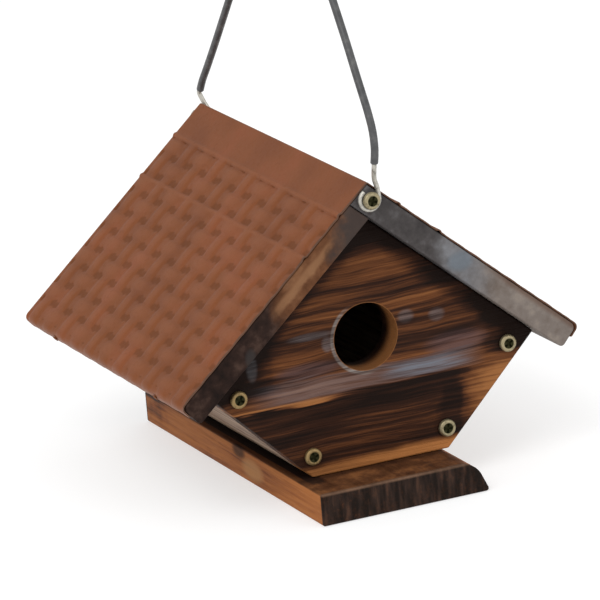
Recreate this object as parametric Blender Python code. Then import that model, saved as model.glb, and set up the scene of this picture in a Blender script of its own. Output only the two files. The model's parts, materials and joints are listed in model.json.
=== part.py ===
"""Hanging wooden birdhouse with a folded sheet-metal roof cover and a wire hanger.

The house is a five-sided box: a front and a back panel, two walls that lean outwards, a base board
that reaches forward as a ledge, and two roof boards that meet at the ridge. Screws, nails and tacks
are pieces of their own. The hanger turns on the two ridge screws.

Metres, +Z up. The front faces -Y and the right side is +X. The origin is the middle of the base
board's underside.
"""

import math

import bmesh
import bpy
from mathutils import Vector

# Driving dimensions, in metres and degrees.
GAP = 0.0003
HOUSE_DEPTH = 0.168
HOUSE_WIDTH = 0.1632
FLOOR_WIDTH = 0.0688
ROOF_PITCH = math.radians(41.0)
WALL_ANGLE = math.radians(45.0)
PANEL_THICKNESS = 0.016
WALL_THICKNESS = 0.015
ROOF_BOARD_THICKNESS = 0.012
COVER_THICKNESS = 0.0006
COVER_LIP = 0.0065
EAVE_OVERHANG = 0.0134
FRONT_OVERHANG = 0.010
REAR_OVERHANG = 0.010

BASE_WIDTH = 0.0846
BASE_THICKNESS = 0.015
BASE_SLANT = 0.0068
FRONT_LEDGE = 0.026
REAR_LEDGE = 0.011

ENTRANCE_DIAMETER = 0.03175
ENTRANCE_ABOVE_FLOOR = 0.0613
ENTRANCE_ASIDE = -0.0026

EDGE_ROUNDING = 0.0008

SCREW_HEAD_RADIUS = 0.0041
SCREW_HEAD_HEIGHT = 0.0019
SCREW_SHANK_RADIUS = 0.0020
SCREW_BITE = 0.016
COUNTERSINK_DEPTH = 0.0026
COUNTERSINK_SETBACK = 0.0005
RECESS_WIDTH = 0.0013
RECESS_REACH = 0.0021
RECESS_DEPTH = 0.0014
WALL_SCREW_FROM_FLOOR = 0.0068
WALL_SCREW_FROM_CORNER = 0.0119
BASE_SCREW_OFFSET = 0.020
RIDGE_SCREW_DEPTH = 0.0061
RIDGE_SCREW_BITE = 0.022

NAIL_HEAD_RADIUS = 0.0025
NAIL_HEAD_HEIGHT = 0.0010
NAIL_SHANK_RADIUS = 0.0011
NAIL_BITE = 0.019
NAIL_FROM_RIDGE = 0.042
NAIL_FROM_EAVE = 0.042

TACK_HEAD_RADIUS = 0.0017
TACK_HEAD_HEIGHT = 0.0005
TACK_SHANK_RADIUS = 0.0007
TACK_BITE = 0.010
TACK_FROM_ROOF_END = 0.034

WIRE_DIAMETER = 0.0023
SLEEVE_DIAMETER = 0.0036
EYE_RADIUS = 0.0046

# Derived sizes and places.
FLOOR_LEVEL = BASE_THICKNESS + GAP
CORNER_LEVEL = FLOOR_LEVEL + (HOUSE_WIDTH - FLOOR_WIDTH) / 2 * math.tan(WALL_ANGLE)
APEX_LEVEL = CORNER_LEVEL + HOUSE_WIDTH / 2 * math.tan(ROOF_PITCH)
BOARD_TOP_DEPTH = COVER_THICKNESS + GAP
BOARD_UNDER_DEPTH = BOARD_TOP_DEPTH + ROOF_BOARD_THICKNESS
PANEL_TOP_DEPTH = BOARD_UNDER_DEPTH + GAP
RIDGE_LEVEL = APEX_LEVEL + PANEL_TOP_DEPTH / math.cos(ROOF_PITCH)

BASE_LENGTH = FRONT_LEDGE + HOUSE_DEPTH + REAR_LEDGE
BASE_FRONT = -BASE_LENGTH / 2
BASE_BACK = BASE_LENGTH / 2
HOUSE_FRONT = BASE_FRONT + FRONT_LEDGE
HOUSE_BACK = HOUSE_FRONT + HOUSE_DEPTH
ROOF_FRONT = HOUSE_FRONT - FRONT_OVERHANG
ROOF_BACK = HOUSE_BACK + REAR_OVERHANG
PIVOT_LEVEL = RIDGE_LEVEL - RIDGE_SCREW_DEPTH / math.cos(ROOF_PITCH)

DOWN_SLOPE = Vector((math.cos(ROOF_PITCH), 0.0, -math.sin(ROOF_PITCH)))
OUT_OF_SLOPE = Vector((math.sin(ROOF_PITCH), 0.0, math.cos(ROOF_PITCH)))
UP_WALL = Vector((math.cos(WALL_ANGLE), 0.0, math.sin(WALL_ANGLE)))
INTO_WALL = Vector((-math.sin(WALL_ANGLE), 0.0, math.cos(WALL_ANGLE)))

# The hanger's route over the roof. Each point is (distance behind the roof's front end, or in
# front of its back end, height above the pivot axis).
FRONT_LEG = (
    (-0.0073, 0.0183),
    (-0.0090, 0.0247),
    (-0.0084, 0.0331),
    (-0.0048, 0.0415),
    (0.0000, 0.0495),
    (0.0050, 0.0577),
    (0.0160, 0.0760),
    (0.0310, 0.0975),
    (0.0490, 0.1135),
    (0.0700, 0.1195),
)
BACK_LEG = (
    (0.0960, 0.1150),
    (0.0740, 0.0995),
    (0.0560, 0.0805),
    (0.0385, 0.0605),
    (0.0220, 0.0415),
    (0.0090, 0.0270),
    (0.0020, 0.0195),
    (-0.0020, 0.0140),
)
WIRE_SIDE_STEP = 0.0012


def clear_scene():
    """Remove every object that the file opened with."""
    for obj in list(bpy.data.objects):
        bpy.data.objects.remove(obj, do_unlink=True)


def make_material(name, colour, roughness, metallic=0.0):
    """Return a Principled BSDF material with one colour."""
    material = bpy.data.materials.new(name)
    material.use_nodes = True
    shader = material.node_tree.nodes["Principled BSDF"]
    shader.inputs["Base Color"].default_value = (*colour, 1.0)
    shader.inputs["Roughness"].default_value = roughness
    shader.inputs["Metallic"].default_value = metallic
    material.diffuse_color = (*colour, 1.0)
    return material


def object_from_bmesh(name, bm, material=None):
    """Turn a bmesh into an object with outward faces, linked to the scene."""
    bmesh.ops.recalc_face_normals(bm, faces=bm.faces)
    mesh = bpy.data.meshes.new(name)
    bm.to_mesh(mesh)
    bm.free()
    obj = bpy.data.objects.new(name, mesh)
    bpy.context.scene.collection.objects.link(obj)
    if material:
        mesh.materials.append(material)
    return obj


def prism(name, outline, y_front, y_back, material, rounding=EDGE_ROUNDING):
    """Extrude an outline of (x, z) points from y_front to y_back, with softened edges."""
    bm = bmesh.new()
    corners = [bm.verts.new((x, y_front, z)) for x, z in outline]
    face = bm.faces.new(corners)
    extruded = bmesh.ops.extrude_face_region(bm, geom=[face])
    moved = [item for item in extruded["geom"] if isinstance(item, bmesh.types.BMVert)]
    bmesh.ops.translate(bm, verts=moved, vec=(0.0, y_back - y_front, 0.0))
    obj = object_from_bmesh(name, bm, material)
    if rounding:
        bevel = obj.modifiers.new("edge_rounding", "BEVEL")
        bevel.width = rounding
        bevel.segments = 2
        bevel.limit_method = "ANGLE"
        bevel.angle_limit = math.radians(25.0)
    return obj


def turned_bmesh(profile, segments):
    """Revolve (radius, z) points, listed from the top down, about the Z axis and cap both ends."""
    bm = bmesh.new()
    rings = []
    for radius, z in profile:
        ring = []
        for step in range(segments):
            angle = 2 * math.pi * step / segments
            ring.append(bm.verts.new((radius * math.cos(angle), radius * math.sin(angle), z)))
        rings.append(ring)
    for upper, lower in zip(rings, rings[1:]):
        for step in range(segments):
            following = (step + 1) % segments
            bm.faces.new((upper[step], upper[following], lower[following], lower[step]))
    bm.faces.new(rings[0])
    bm.faces.new(rings[-1])
    return bm


def turned(name, profile, segments, material=None):
    """Return a smooth-shaded turned object on the Z axis."""
    obj = object_from_bmesh(name, turned_bmesh(profile, segments), material)
    obj.data.shade_smooth()
    obj.data.set_sharp_from_angle(angle=math.radians(35.0))
    return obj


def as_cutter(obj):
    """Mark an object as a cutter, which is drawn as wire and isn't rendered."""
    obj.hide_render = True
    obj.display_type = "WIRE"
    return obj


def cut(target, cutter):
    """Subtract a cutter from a target with an exact Boolean."""
    boolean = target.modifiers.new("cut_" + cutter.name, "BOOLEAN")
    boolean.operation = "DIFFERENCE"
    boolean.solver = "EXACT"
    boolean.object = cutter


def point_at(obj, place, outward):
    """Move an object to a place and turn its +Z axis to point outward."""
    obj.location = place
    obj.rotation_mode = "QUATERNION"
    obj.rotation_quaternion = Vector((0.0, 0.0, 1.0)).rotation_difference(outward)


def mirrored(vector, side):
    """Return a right-side vector for side +1, and its mirror image in X for side -1."""
    return Vector((side * vector.x, vector.y, vector.z))


def roof_section_point(right_depth, left_depth):
    """Return the (x, z) that lies the given depths below the right and left outer slopes."""
    x = (left_depth - right_depth) / (2 * math.sin(ROOF_PITCH))
    z = RIDGE_LEVEL - (left_depth + right_depth) / (2 * math.cos(ROOF_PITCH))
    return x, z


def slope_point(distance, depth, side=1):
    """Return (x, z) at a distance down the slope from the ridge and a depth below its surface."""
    x = distance * DOWN_SLOPE.x - depth * OUT_OF_SLOPE.x
    z = RIDGE_LEVEL + distance * DOWN_SLOPE.z - depth * OUT_OF_SLOPE.z
    return side * x, z


def house_corner():
    """Return the (x, z) where a wall's outer face meets the roof boards' underside."""
    return HOUSE_WIDTH / 2, CORNER_LEVEL


def slope_length():
    """Return the length of the cover's outer slope, from the ridge to the eave."""
    x, z = house_corner()
    return x * DOWN_SLOPE.x + (z - RIDGE_LEVEL) * DOWN_SLOPE.z + EAVE_OVERHANG


def pentagon():
    """Return the outline of the front and back panels."""
    corner_x, corner_z = house_corner()
    half_floor = FLOOR_WIDTH / 2
    return [
        (-half_floor, FLOOR_LEVEL),
        (half_floor, FLOOR_LEVEL),
        (corner_x, corner_z),
        (0.0, APEX_LEVEL),
        (-corner_x, corner_z),
    ]


def wall_outline(side):
    """Return a wall's section: flat on the base board and flat against the roof board."""
    corner_x, corner_z = house_corner()
    half_floor = FLOOR_WIDTH / 2
    inner_floor = half_floor - WALL_THICKNESS / math.sin(WALL_ANGLE)
    rise = math.tan(WALL_ANGLE)
    fall = math.tan(ROOF_PITCH)
    inner_x = (APEX_LEVEL - FLOOR_LEVEL + inner_floor * rise) / (rise + fall)
    inner_z = APEX_LEVEL - inner_x * fall
    outline = [
        (half_floor, FLOOR_LEVEL),
        (corner_x, corner_z),
        (inner_x, inner_z),
        (inner_floor, FLOOR_LEVEL),
    ]
    return [(side * x, z) for x, z in outline]


def right_roof_outline():
    """Return the section of the right roof board, which laps over the left one at the ridge."""
    eave = slope_length() - COVER_THICKNESS - GAP
    return [
        roof_section_point(BOARD_TOP_DEPTH, BOARD_TOP_DEPTH),
        slope_point(eave, BOARD_TOP_DEPTH),
        slope_point(eave, BOARD_UNDER_DEPTH),
        roof_section_point(BOARD_UNDER_DEPTH, BOARD_TOP_DEPTH),
    ]


def left_roof_outline():
    """Return the section of the left roof board, whose top end butts against the right one."""
    eave = slope_length() - COVER_THICKNESS - GAP
    return [
        roof_section_point(PANEL_TOP_DEPTH, BOARD_TOP_DEPTH),
        roof_section_point(PANEL_TOP_DEPTH, BOARD_UNDER_DEPTH),
        slope_point(eave, BOARD_UNDER_DEPTH, -1),
        slope_point(eave, BOARD_TOP_DEPTH, -1),
    ]


def cover_outline():
    """Return the section of the sheet cover: two slopes and a lip folded down over each eave."""
    eave = slope_length()
    inside = eave - COVER_THICKNESS
    outer = [
        slope_point(eave, COVER_LIP, -1),
        slope_point(eave, 0.0, -1),
        (0.0, RIDGE_LEVEL),
        slope_point(eave, 0.0),
        slope_point(eave, COVER_LIP),
    ]
    inner = [
        slope_point(inside, COVER_LIP),
        slope_point(inside, COVER_THICKNESS),
        roof_section_point(COVER_THICKNESS, COVER_THICKNESS),
        slope_point(inside, COVER_THICKNESS, -1),
        slope_point(inside, COVER_LIP, -1),
    ]
    return outer + inner


def make_panels(wood):
    """Build the front panel with its entrance hole, and the plain back panel."""
    front = prism("front_panel", pentagon(), HOUSE_FRONT, HOUSE_FRONT + PANEL_THICKNESS, wood)
    back = prism("back_panel", pentagon(), HOUSE_BACK - PANEL_THICKNESS, HOUSE_BACK, wood)
    reach = PANEL_THICKNESS
    radius = ENTRANCE_DIAMETER / 2
    hole = as_cutter(turned("entrance_cutter", [(radius, reach), (radius, -reach)], 56))
    level = BASE_THICKNESS + ENTRANCE_ABOVE_FLOOR
    centre = Vector((ENTRANCE_ASIDE, HOUSE_FRONT + PANEL_THICKNESS / 2, level))
    point_at(hole, centre, Vector((0.0, -1.0, 0.0)))
    cut(front, hole)
    return front, back


def make_walls(wood):
    """Build the two leaning walls, which stand between the panels."""
    start = HOUSE_FRONT + PANEL_THICKNESS + GAP
    end = HOUSE_BACK - PANEL_THICKNESS - GAP
    left = prism("left_wall", wall_outline(-1), start, end, wood)
    right = prism("right_wall", wall_outline(1), start, end, wood)
    return left, right


def make_roof(wood, metal):
    """Build the two roof boards and the folded cover on top of them."""
    left = prism("left_roof_board", left_roof_outline(), ROOF_FRONT, ROOF_BACK, wood)
    right = prism("right_roof_board", right_roof_outline(), ROOF_FRONT, ROOF_BACK, wood)
    cover = prism("roof_cover", cover_outline(), ROOF_FRONT, ROOF_BACK, metal, rounding=0.0)
    return left, right, cover


def make_base(wood):
    """Build the base board, whose right edge is sawn at a slant."""
    half = BASE_WIDTH / 2
    outline = [(-half, 0.0), (half, 0.0), (half - BASE_SLANT, BASE_THICKNESS), (-half, BASE_THICKNESS)]
    return prism("base_board", outline, BASE_FRONT, BASE_BACK, wood)


def cross_cutter_bmesh(top):
    """Return a tapered cross that sinks a driver recess into a head whose top is at z = top."""
    arm = RECESS_WIDTH / 2
    tip = RECESS_REACH
    plan = [
        (arm, tip), (arm, arm), (tip, arm), (tip, -arm), (arm, -arm), (arm, -tip),
        (-arm, -tip), (-arm, -arm), (-tip, -arm), (-tip, arm), (-arm, arm), (-arm, tip),
    ]
    taper = 0.45
    levels = [(top + RECESS_DEPTH, 1.0 + taper), (top - RECESS_DEPTH, 1.0 - taper)]
    bm = bmesh.new()
    rings = []
    for z, scale in levels:
        rings.append([bm.verts.new((scale * x, scale * y, z)) for x, y in plan])
    for step in range(len(plan)):
        following = (step + 1) % len(plan)
        bm.faces.new((rings[0][step], rings[0][following], rings[1][following], rings[1][step]))
    bm.faces.new(rings[0])
    bm.faces.new(rings[1])
    return bm


def screw_mesh(name, profile, top, material):
    """Return the mesh of a screw on the Z axis, with a cross recess in its head."""
    blank = turned(name + "_blank", profile, 20, material)
    recess = object_from_bmesh(name + "_recess", cross_cutter_bmesh(top))
    cut(blank, recess)
    graph = bpy.context.evaluated_depsgraph_get()
    mesh = bpy.data.meshes.new_from_object(blank.evaluated_get(graph))
    mesh.name = name
    mesh.shade_smooth()
    mesh.set_sharp_from_angle(angle=math.radians(35.0))
    for helper in (blank, recess):
        bpy.data.objects.remove(helper, do_unlink=True)
    return mesh


def pan_screw_profile(length):
    """Return the outline of a screw with a low domed head, its head's underside at z = 0."""
    head = SCREW_HEAD_RADIUS
    rise = SCREW_HEAD_HEIGHT
    shank = SCREW_SHANK_RADIUS
    return [
        (0.45 * head, rise),
        (0.78 * head, 0.84 * rise),
        (0.95 * head, 0.50 * rise),
        (head, 0.15 * rise),
        (0.97 * head, 0.0),
        (shank, 0.0),
        (shank, -length + 2 * shank),
        (0.2 * shank, -length),
    ]


def countersunk_profile(length):
    """Return the outline of a countersunk screw, its flat head top at z = 0."""
    shank = SCREW_SHANK_RADIUS
    return [
        (SCREW_HEAD_RADIUS, 0.0),
        (SCREW_HEAD_RADIUS, -0.0003),
        (shank, -COUNTERSINK_DEPTH),
        (shank, -length + 2 * shank),
        (0.2 * shank, -length),
    ]


def nail_profile(head_radius, head_height, shank_radius, length):
    """Return the outline of a nail or tack, its head's underside at z = 0."""
    return [
        (0.6 * head_radius, head_height),
        (head_radius, 0.6 * head_height),
        (head_radius, 0.0),
        (shank_radius, 0.0),
        (shank_radius, -length + 2 * shank_radius),
        (0.15 * shank_radius, -length),
    ]


def shank_hole_profile(shank_radius, length):
    """Return the outline of a clearance hole for a shank that starts at z = 0."""
    radius = shank_radius + GAP
    return [(radius, 0.004), (radius, -length - GAP)]


def countersink_hole_profile(length):
    """Return the outline of a countersunk clearance hole for a head whose top is at z = 0."""
    head = SCREW_HEAD_RADIUS + GAP
    shank = SCREW_SHANK_RADIUS + GAP
    return [(head, 0.004), (head, -0.0003 - GAP), (shank, -COUNTERSINK_DEPTH - GAP), (shank, -length - GAP)]


def nail_hole_profile(length):
    """Return the outline of a nail hole that also sinks the nail's head flush."""
    head = NAIL_HEAD_RADIUS + GAP
    shank = NAIL_SHANK_RADIUS + GAP
    return [(head, 0.004), (head, -GAP), (shank, -GAP), (shank, -length - GAP)]


def drive(name, mesh, place, outward, hole_profile, woods):
    """Place a fastener with its head outwards and cut its clearance hole in each piece it enters."""
    fastener = bpy.data.objects.new(name, mesh)
    bpy.context.scene.collection.objects.link(fastener)
    point_at(fastener, place, outward)
    hole = as_cutter(turned(name + "_hole", hole_profile, 14))
    point_at(hole, place, outward)
    for wood in woods:
        cut(wood, hole)
    return fastener


def wall_screw_places():
    """Return (label, side, x, z) of the screws that hold a panel to the walls."""
    corner_x, corner_z = house_corner()
    foot = Vector((FLOOR_WIDTH / 2, 0.0, FLOOR_LEVEL))
    wall_height = (Vector((corner_x, 0.0, corner_z)) - foot).length
    places = []
    for side, side_name in ((-1, "left"), (1, "right")):
        for level, along in (
            ("lower", WALL_SCREW_FROM_FLOOR),
            ("upper", wall_height - WALL_SCREW_FROM_CORNER),
        ):
            spot = foot + along * UP_WALL + WALL_THICKNESS / 2 * INTO_WALL
            places.append((f"{level}_{side_name}", side, side * spot.x, spot.z))
    return places


def make_wall_screws(panels, walls, material):
    """Drive four screws through each panel into the ends of the walls."""
    length = PANEL_THICKNESS + SCREW_BITE
    profile = pan_screw_profile(length)
    mesh = screw_mesh("panel_screw", profile, SCREW_HEAD_HEIGHT, material)
    hole = shank_hole_profile(SCREW_SHANK_RADIUS, length)
    ends = (("front", panels[0], HOUSE_FRONT, -1.0), ("back", panels[1], HOUSE_BACK, 1.0))
    for end_name, panel, y, facing in ends:
        for label, side, x, z in wall_screw_places():
            wall = walls[0] if side < 0 else walls[1]
            place = Vector((x, y + facing * GAP, z))
            name = f"{end_name}_screw_{label}"
            drive(name, mesh, place, Vector((0.0, facing, 0.0)), hole, (panel, wall))


def make_base_screws(base, panels, material):
    """Drive two countersunk screws up through the base board into each panel's bottom edge."""
    length = BASE_THICKNESS - COUNTERSINK_SETBACK + SCREW_BITE
    mesh = screw_mesh("base_screw", countersunk_profile(length), 0.0, material)
    hole = countersink_hole_profile(length)
    middles = (
        ("front", panels[0], HOUSE_FRONT + PANEL_THICKNESS / 2),
        ("back", panels[1], HOUSE_BACK - PANEL_THICKNESS / 2),
    )
    for end_name, panel, y in middles:
        for side_name, side in (("left", -1), ("right", 1)):
            place = Vector((side * BASE_SCREW_OFFSET, y, COUNTERSINK_SETBACK))
            name = f"base_screw_{end_name}_{side_name}"
            drive(name, mesh, place, Vector((0.0, 0.0, -1.0)), hole, (base, panel))


def make_ridge_screws(right_board, material):
    """Drive a screw into each end of the lapping roof board, with room for the hanger's eye."""
    stand_off = WIRE_DIAMETER + 3 * GAP
    length = stand_off + RIDGE_SCREW_BITE
    mesh = screw_mesh("ridge_screw", pan_screw_profile(length), SCREW_HEAD_HEIGHT, material)
    hole = shank_hole_profile(SCREW_SHANK_RADIUS, length)
    for end_name, y, facing in (("front", ROOF_FRONT, -1.0), ("back", ROOF_BACK, 1.0)):
        place = Vector((0.0, y + facing * stand_off, PIVOT_LEVEL))
        drive(f"ridge_screw_{end_name}", mesh, place, Vector((0.0, facing, 0.0)), hole, (right_board,))


def make_roof_nails(boards, panels, material):
    """Nail each roof board down into the sloping edges of both panels, heads flush."""
    length = ROOF_BOARD_THICKNESS - NAIL_HEAD_HEIGHT + NAIL_BITE
    profile = nail_profile(NAIL_HEAD_RADIUS, NAIL_HEAD_HEIGHT, NAIL_SHANK_RADIUS, length)
    blank = turned("roof_nail", profile, 12, material)
    mesh = blank.data
    bpy.data.objects.remove(blank, do_unlink=True)
    hole = nail_hole_profile(length)
    head_depth = BOARD_TOP_DEPTH + NAIL_HEAD_HEIGHT
    rows = (("upper", NAIL_FROM_RIDGE), ("lower", slope_length() - NAIL_FROM_EAVE))
    middles = (
        ("front", panels[0], HOUSE_FRONT + PANEL_THICKNESS / 2),
        ("back", panels[1], HOUSE_BACK - PANEL_THICKNESS / 2),
    )
    for side_name, side, board in (("left", -1, boards[0]), ("right", 1, boards[1])):
        outward = mirrored(OUT_OF_SLOPE, side)
        for end_name, panel, y in middles:
            for row_name, distance in rows:
                x, z = slope_point(distance, head_depth, side)
                name = f"roof_nail_{side_name}_{end_name}_{row_name}"
                drive(name, mesh, Vector((x, y, z)), outward, hole, (board, panel))


def make_cover_tacks(cover, boards, material):
    """Tack the cover's lips to the roof boards' eave edges."""
    length = COVER_THICKNESS + 2 * GAP + TACK_BITE
    profile = nail_profile(TACK_HEAD_RADIUS, TACK_HEAD_HEIGHT, TACK_SHANK_RADIUS, length)
    blank = turned("cover_tack", profile, 12, material)
    mesh = blank.data
    bpy.data.objects.remove(blank, do_unlink=True)
    hole = shank_hole_profile(TACK_SHANK_RADIUS, length)
    ends = (("front", ROOF_FRONT + TACK_FROM_ROOF_END), ("back", ROOF_BACK - TACK_FROM_ROOF_END))
    lip_middle = (COVER_LIP + COVER_THICKNESS) / 2
    for side_name, side, board in (("left", -1, boards[0]), ("right", 1, boards[1])):
        for end_name, y in ends:
            x, z = slope_point(slope_length() + GAP, lip_middle, side)
            name = f"cover_tack_{side_name}_{end_name}"
            drive(name, mesh, Vector((x, y, z)), mirrored(DOWN_SLOPE, side), hole, (cover, board))


def smooth_path(route, spacing):
    """Return points about spacing apart on a Catmull-Rom curve through the route's points."""
    points = [2 * route[0] - route[1], *route, 2 * route[-1] - route[-2]]
    path = []
    for before, start, end, after in zip(points, points[1:], points[2:], points[3:]):
        steps = max(1, round((end - start).length / spacing))
        for step in range(steps):
            t = step / steps
            path.append(
                0.5 * (
                    2 * start
                    + (end - before) * t
                    + (2 * before - 5 * start + 4 * end - after) * t**2
                    + (3 * start - before - 3 * end + after) * t**3
                )
            )
    path.append(route[-1])
    return path


def tube(name, route, diameter, spacing, material, pivot):
    """Return a round tube along a route given in the pivot's frame."""
    path = smooth_path(route, spacing)
    curve = bpy.data.curves.new(name, "CURVE")
    curve.dimensions = "3D"
    curve.bevel_depth = diameter / 2
    curve.bevel_resolution = 2
    curve.use_fill_caps = True
    spline = curve.splines.new("POLY")
    spline.points.add(len(path) - 1)
    for point, place in zip(spline.points, path):
        point.co = (*place, 1.0)
    curve.materials.append(material)
    obj = bpy.data.objects.new(name, curve)
    bpy.context.scene.collection.objects.link(obj)
    obj.parent = pivot
    return obj


def sleeve_route():
    """Return the sleeve's route from the front to the back, in the pivot's frame."""
    front = [Vector((WIRE_SIDE_STEP, ROOF_FRONT + behind, up)) for behind, up in FRONT_LEG]
    back = [Vector((WIRE_SIDE_STEP, ROOF_BACK - ahead, up)) for ahead, up in BACK_LEG]
    return front + back


def eye_route(roof_end, facing, sleeve_end, sleeve_next):
    """Return a wire end's route: round the screw once, then up to just short of the sleeve."""
    ring_y = roof_end + facing * (GAP + WIRE_DIAMETER / 2)
    route = []
    for degrees in range(122, 361, 17):
        angle = math.radians(degrees)
        route.append(Vector((EYE_RADIUS * math.cos(angle), ring_y, EYE_RADIUS * math.sin(angle))))
    out_of_sleeve = (sleeve_end - sleeve_next).normalized()
    wire_end = sleeve_end + GAP * out_of_sleeve
    straight_end = wire_end + WIRE_DIAMETER * out_of_sleeve
    climb = straight_end.z
    lean = straight_end.y - ring_y
    route.append(Vector((0.90 * EYE_RADIUS, ring_y, 0.32 * climb)))
    route.append(Vector((0.55 * EYE_RADIUS, ring_y + 0.25 * lean, 0.62 * climb)))
    route.append(straight_end)
    route.append(wire_end)
    return route


def make_hanger(wire_metal, sleeve_plastic):
    """Build the hanger on an empty that sits on the axis through both ridge screws."""
    pivot = bpy.data.objects.new("hanger_swing_axis", None)
    pivot.location = (0.0, 0.0, PIVOT_LEVEL)
    bpy.context.scene.collection.objects.link(pivot)
    route = sleeve_route()
    tube("hanger_sleeve", route, SLEEVE_DIAMETER, 0.0065, sleeve_plastic, pivot)
    front_eye = eye_route(ROOF_FRONT, -1.0, route[0], route[1])
    back_eye = eye_route(ROOF_BACK, 1.0, route[-1], route[-2])
    tube("hanger_eye_front", front_eye, WIRE_DIAMETER, 0.0016, wire_metal, pivot)
    tube("hanger_eye_back", back_eye, WIRE_DIAMETER, 0.0016, wire_metal, pivot)


def main():
    """Build the whole birdhouse."""
    clear_scene()
    burnt_wood = make_material("burnt_wood", (0.07, 0.035, 0.02), 0.7)
    weathered_wood = make_material("weathered_wood", (0.16, 0.13, 0.11), 0.75)
    orange_wood = make_material("orange_wood", (0.22, 0.09, 0.035), 0.7)
    roof_metal = make_material("roof_metal", (0.24, 0.09, 0.04), 0.45, 0.6)
    screw_metal = make_material("screw_metal", (0.45, 0.42, 0.30), 0.35, 1.0)
    nail_metal = make_material("nail_metal", (0.35, 0.35, 0.36), 0.45, 1.0)
    wire_metal = make_material("wire_metal", (0.42, 0.41, 0.38), 0.4, 1.0)
    sleeve_plastic = make_material("sleeve_plastic", (0.03, 0.03, 0.03), 0.5)

    panels = make_panels(burnt_wood)
    walls = make_walls(weathered_wood)
    left_board, right_board, cover = make_roof(weathered_wood, roof_metal)
    boards = (left_board, right_board)
    base = make_base(orange_wood)
    make_wall_screws(panels, walls, screw_metal)
    make_base_screws(base, panels, screw_metal)
    make_ridge_screws(right_board, screw_metal)
    make_roof_nails(boards, panels, nail_metal)
    make_cover_tacks(cover, boards, roof_metal)
    make_hanger(wire_metal, sleeve_plastic)


main()
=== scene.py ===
"""Studio scene of a hanging wooden birdhouse: torched boards, an embossed metal roof and a wire hanger.

Metres, +Z up, the entrance faces -Y. Everything sits where the fixed frame says.
"""

from __future__ import annotations

import sys

import json
import logging
import math
from dataclasses import dataclass
from enum import Enum
from typing import Any, Callable, Iterable, Sequence

import bpy
from mathutils import Matrix, Vector


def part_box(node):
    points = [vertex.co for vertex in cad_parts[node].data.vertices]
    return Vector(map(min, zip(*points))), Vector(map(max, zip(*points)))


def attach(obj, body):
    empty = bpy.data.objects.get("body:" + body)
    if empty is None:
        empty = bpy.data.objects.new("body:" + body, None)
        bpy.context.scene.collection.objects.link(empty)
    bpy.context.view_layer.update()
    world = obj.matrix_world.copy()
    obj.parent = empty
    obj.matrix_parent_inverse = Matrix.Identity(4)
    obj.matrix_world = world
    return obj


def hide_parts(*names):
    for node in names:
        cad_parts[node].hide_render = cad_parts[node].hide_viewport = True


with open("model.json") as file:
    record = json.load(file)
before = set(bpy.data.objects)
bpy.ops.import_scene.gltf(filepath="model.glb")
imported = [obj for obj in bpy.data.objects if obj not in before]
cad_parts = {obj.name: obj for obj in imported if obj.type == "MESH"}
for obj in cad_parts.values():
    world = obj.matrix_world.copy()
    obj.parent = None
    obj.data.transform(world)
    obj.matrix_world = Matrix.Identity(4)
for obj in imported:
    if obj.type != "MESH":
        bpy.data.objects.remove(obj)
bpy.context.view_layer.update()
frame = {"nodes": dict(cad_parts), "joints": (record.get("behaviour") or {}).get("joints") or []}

LOG = logging.getLogger("birdhouse")
Colour = tuple[float, float, float]
Number = Any


class Side(Enum):
    """Which slope of the roof, with its sign along X."""

    LEFT = -1
    RIGHT = 1


# ---------------------------------------------------------------- shaders


class Value:
    """A number in a shader: a socket, or a plain float, with Python's operators."""

    def __init__(self, shader: Shader, socket: bpy.types.NodeSocket) -> None:
        """Wrap an output socket of a shader's node tree."""
        self.shader = shader
        self.socket = socket

    def _combine(self, operation: str, first: Number, second: Number) -> Value:
        """Return the result of one Math node on two numbers."""
        node = self.shader.node("ShaderNodeMath", {"operation": operation}, {0: first, 1: second})
        return Value(self.shader, node.outputs[0])

    def __add__(self, other: Number) -> Value:
        """Return self + other."""
        return self._combine("ADD", self, other)

    def __radd__(self, other: Number) -> Value:
        """Return other + self."""
        return self._combine("ADD", other, self)

    def __sub__(self, other: Number) -> Value:
        """Return self - other."""
        return self._combine("SUBTRACT", self, other)

    def __rsub__(self, other: Number) -> Value:
        """Return other - self."""
        return self._combine("SUBTRACT", other, self)

    def __mul__(self, other: Number) -> Value:
        """Return self times other."""
        return self._combine("MULTIPLY", self, other)

    def __rmul__(self, other: Number) -> Value:
        """Return other times self."""
        return self._combine("MULTIPLY", other, self)

    def __truediv__(self, other: Number) -> Value:
        """Return self over other."""
        return self._combine("DIVIDE", self, other)

    def __pow__(self, other: Number) -> Value:
        """Return self to the power of other."""
        return self._combine("POWER", self, other)

    def __neg__(self) -> Value:
        """Return minus self."""
        return self._combine("MULTIPLY", self, -1.0)

    def __abs__(self) -> Value:
        """Return self without its sign."""
        return self._combine("ABSOLUTE", self, 0.0)

    def larger(self, other: Number) -> Value:
        """Return the larger of self and other."""
        return self._combine("MAXIMUM", self, other)

    def smaller(self, other: Number) -> Value:
        """Return the smaller of self and other."""
        return self._combine("MINIMUM", self, other)


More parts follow.
